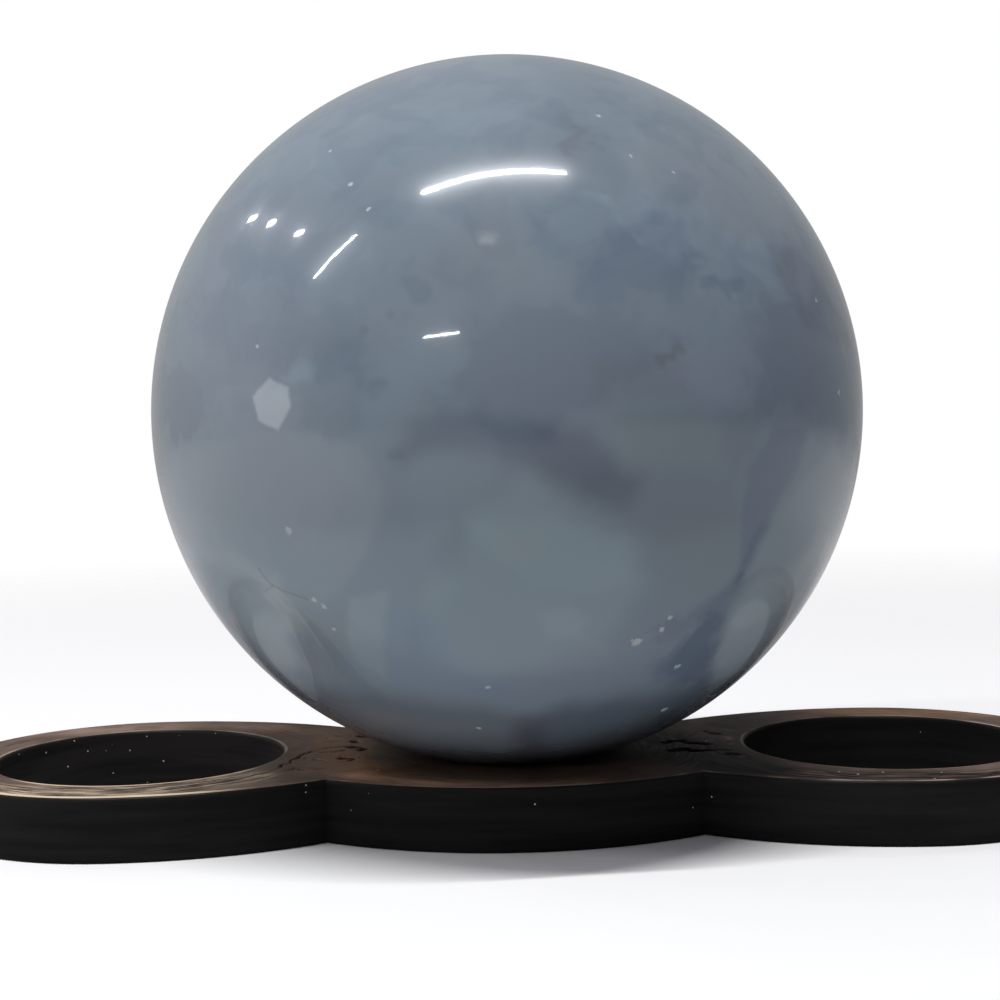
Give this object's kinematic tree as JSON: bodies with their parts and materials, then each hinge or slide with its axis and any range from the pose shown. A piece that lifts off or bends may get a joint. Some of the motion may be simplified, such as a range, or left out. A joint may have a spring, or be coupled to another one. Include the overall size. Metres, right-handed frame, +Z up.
{
  "type": "decorative stone sphere on a stand",
  "caption": "Polished blue-grey stone sphere resting in the middle of a low dark wooden stand, a straight row of open scalloped rings.",
  "frame": {"origin": "on the surface that the stand lies on, straight under the middle of the sphere", "axes": "+Z up, +X along the row of rings, +Y across the row, away from the side the picture shows"},
  "size_m": [0.0976, 0.06, 0.0641],
  "materials": {
    "polished_stone": "high polish on cloudy blue-grey stone, with a few small pits",
    "dark_wood": "black-brown stained wood, semi-gloss, with worn brown top faces and gloss black sides"
  },
  "bodies": {
    "root": {"stone_sphere": "polished_stone", "ring_stand": "dark_wood"}
  },
  "joints": []
}
